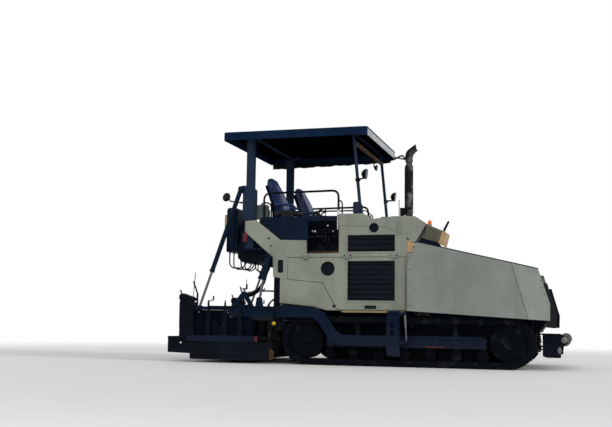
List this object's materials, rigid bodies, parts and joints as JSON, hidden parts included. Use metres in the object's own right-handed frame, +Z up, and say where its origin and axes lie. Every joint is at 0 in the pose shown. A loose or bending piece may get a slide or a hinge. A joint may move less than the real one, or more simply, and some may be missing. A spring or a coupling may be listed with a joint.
{
  "type": "asphalt paver",
  "caption": "Tracked asphalt paver with a canopy over two seats, a folding front hopper, slat conveyors, spreading augers and an extending screed on tow arms.",
  "frame": {"origin": "on the ground below the middle of the bounding box", "axes": "+X forward in the direction of travel, +Y to the left, +Z up"},
  "size_m": [6.4, 2.566, 3.82],
  "materials": {
    "cream_paint": "satin",
    "navy_paint": "satin",
    "black_steel": "satin",
    "track_steel": "matte",
    "grille_black": "matte",
    "wear_steel": "matte",
    "chrome_rod": "polished",
    "black_vinyl": "matte",
    "black_plastic": "matte",
    "orange_lens": "gloss",
    "rubber_sheet": "matte",
    "engine_iron": "matte"
  },
  "bodies": {
    "root": {"chassis": "black_steel", "track_frames": "navy_paint", "track_right": "track_steel", "track_left": "track_steel", "track_wheels": "track_steel", "engine": "engine_iron", "engine_housing": "cream_paint", "top_grilles": "grille_black", "hood": "cream_paint", "intake_box": "cream_paint", "platform": "navy_paint", "step_wells": "navy_paint", "consoles": "black_plastic", "seats": "black_vinyl", "handrails": "black_steel", "canopy": "navy_paint", "canopy_posts": "navy_paint", "exhaust": "black_steel", "lamps": "black_steel", "beacon": "orange_lens", "rear_frame": "black_steel", "rear_tank": "black_steel", "rear_cabinet": "navy_paint", "hopper": "navy_paint", "conveyors": "wear_steel", "auger_carrier": "black_steel", "tow_guides": "navy_paint", "levelling_rods": "chrome_rod", "front_apron": "black_steel"},
    "wing_right": {"wing_right": "cream_paint", "wing_flap_right": "rubber_sheet"},
    "wing_left": {"wing_left": "cream_paint", "wing_flap_left": "rubber_sheet"},
    "push_beam": {"push_beam": "navy_paint"},
    "push_roller_right": {"push_roller_right": "wear_steel"},
    "push_roller_left": {"push_roller_left": "wear_steel"},
    "screed": {"screed_frame": "navy_paint", "tow_arms": "navy_paint"},
    "extension_right": {"extension_right": "navy_paint", "end_gate_right": "black_steel"},
    "extension_left": {"extension_left": "navy_paint", "end_gate_left": "black_steel"},
    "auger_right": {"auger_right": "wear_steel"},
    "auger_left": {"auger_left": "wear_steel"},
    "door_right": {"door_right": "cream_paint", "door_grille_right": "grille_black"},
    "door_left": {"door_left": "cream_paint", "door_grille_left": "grille_black"},
    "lift_barrels": {"lift_barrels": "navy_paint"},
    "lift_rods": {"lift_rods": "chrome_rod"},
    "strut_barrels": {"strut_barrels": "navy_paint"},
    "strut_rods": {"strut_rods": "chrome_rod"}
  },
  "joints": [
    {"name": "wing_right_fold", "type": "hinge", "parent": "root", "child": "wing_right", "pos_m": [1.7, -0.7, 0.82], "axis": [1, 0, 0], "range_deg": [0, 24]},
    {"name": "wing_left_fold", "type": "hinge", "parent": "root", "child": "wing_left", "pos_m": [1.7, 0.7, 0.82], "axis": [-1, 0, 0], "range_deg": [0, 24]},
    {"name": "push_beam_swivel", "type": "hinge", "parent": "root", "child": "push_beam", "pos_m": [2.86, 0, 0.43], "axis": [0, 0, 1], "range_deg": [-4, 4]},
    {"name": "push_roller_right_spin", "type": "hinge", "parent": "push_beam", "child": "push_roller_right", "pos_m": [3.108, -0.57, 0.455], "axis": [0, 1, 0], "continuous": true},
    {"name": "push_roller_left_spin", "type": "hinge", "parent": "push_beam", "child": "push_roller_left", "pos_m": [3.108, 0.57, 0.455], "axis": [0, 1, 0], "continuous": true},
    {"name": "screed_lift", "type": "hinge", "parent": "root", "child": "screed", "pos_m": [0.56, 0, 0.388], "axis": [0, 1, 0], "range_deg": [-0.75, 7]},
    {"name": "extension_right_slide", "type": "slide", "parent": "screed", "child": "extension_right", "axis": [0, -1, 0], "range_m": [0, 1.25]},
    {"name": "extension_left_slide", "type": "slide", "parent": "screed", "child": "extension_left", "axis": [0, 1, 0], "range_m": [0, 1.25]},
    {"name": "auger_right_spin", "type": "hinge", "parent": "root", "child": "auger_right", "pos_m": [-1.47, -0.6, 0.335], "axis": [0, 1, 0], "continuous": true},
    {"name": "auger_left_spin", "type": "hinge", "parent": "root", "child": "auger_left", "pos_m": [-1.47, 0.6, 0.335], "axis": [0, 1, 0], "continuous": true},
    {"name": "door_right_hinge", "type": "hinge", "parent": "root", "child": "door_right", "pos_m": [-0.2, -1.15, 1.7], "axis": [-1, 0, 0], "range_deg": [0, 75]},
    {"name": "door_left_hinge", "type": "hinge", "parent": "root", "child": "door_left", "pos_m": [-0.2, 1.15, 1.7], "axis": [1, 0, 0], "range_deg": [0, 75]},
    {"name": "lift_barrel_pivot", "type": "hinge", "parent": "root", "child": "lift_barrels", "pos_m": [-1.493, 0, 1.721], "axis": [0, 1, 0], "range_deg": [-5.5, 1]},
    {"name": "lift_rod_slide", "type": "slide", "parent": "lift_barrels", "child": "lift_rods", "axis": [-0.1883, 0, -0.9821], "range_m": [-0.28, 0.032]},
    {"name": "strut_barrel_pivot", "type": "hinge", "parent": "root", "child": "strut_barrels", "pos_m": [-1.985, 0, 2.837], "axis": [0, 1, 0], "range_deg": [-0.5, 2.2]},
    {"name": "strut_rod_slide", "type": "slide", "parent": "strut_barrels", "child": "strut_rods", "axis": [-0.3312, 0, -0.9435], "range_m": [-0.4, 0.045]}
  ],
  "couplings": [
    {"joint": "lift_barrel_pivot", "follows": "screed_lift", "ratio": -0.6526},
    {"joint": "lift_rod_slide", "follows": "screed_lift", "m_per_rad": -2.2393},
    {"joint": "strut_barrel_pivot", "follows": "screed_lift", "ratio": 0.2535},
    {"joint": "strut_rod_slide", "follows": "screed_lift", "m_per_rad": -3.2321}
  ]
}
